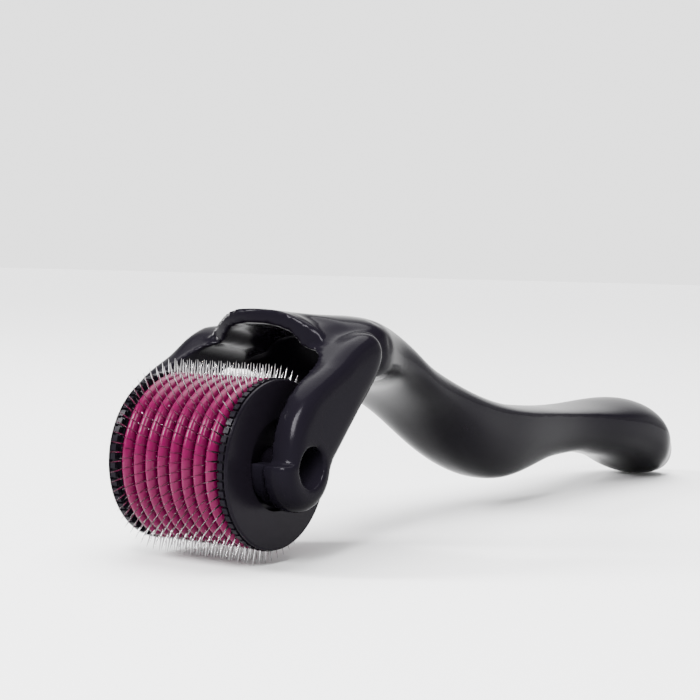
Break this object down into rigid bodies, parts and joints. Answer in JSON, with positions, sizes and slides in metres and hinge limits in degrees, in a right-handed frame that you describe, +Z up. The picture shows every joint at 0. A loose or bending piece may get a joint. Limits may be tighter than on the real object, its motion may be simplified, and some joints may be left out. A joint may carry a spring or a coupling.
{
  "type": "derma roller",
  "caption": "Hand-held skin roller with a curved one-piece forked handle and a free-spinning drum of fine steel needles set between rounded rings.",
  "frame": {"origin": "centre of the bounding box in plan, on the surface the roller lies on", "axes": "+X from the drum toward the tail of the handle, +Y along the drum's axle, +Z up"},
  "size_m": [0.1272, 0.0258, 0.0281],
  "materials": {
    "handle_plastic": "glossy near-black moulded plastic",
    "cap_plastic": "glossy near-black moulded plastic",
    "core_plastic": "dark translucent magenta plastic",
    "ring_plastic": "glossy translucent magenta plastic",
    "needle_steel": "bright drawn steel"
  },
  "bodies": {
    "handle_body": {"handle": "handle_plastic"},
    "drum": {"left_end_cap": "cap_plastic", "right_end_cap": "cap_plastic", "drum_core": "core_plastic", "needle_ring_1": "ring_plastic", "needle_ring_2": "ring_plastic", "needle_ring_3": "ring_plastic", "needle_ring_4": "ring_plastic", "needle_ring_5": "ring_plastic", "needle_ring_6": "ring_plastic", "needle_ring_7": "ring_plastic", "needle_ring_8": "ring_plastic", "needle_row_1": "needle_steel", "needle_row_2": "needle_steel", "needle_row_3": "needle_steel", "needle_row_4": "needle_steel", "needle_row_5": "needle_steel", "needle_row_6": "needle_steel", "needle_row_7": "needle_steel", "needle_row_8": "needle_steel", "needle_row_9": "needle_steel"}
  },
  "joints": [
    {"name": "drum_spin", "type": "hinge", "parent": "handle_body", "child": "drum", "pos_m": [-0.0525, 0, 0.0111], "axis": [0, 1, 0], "continuous": true}
  ]
}
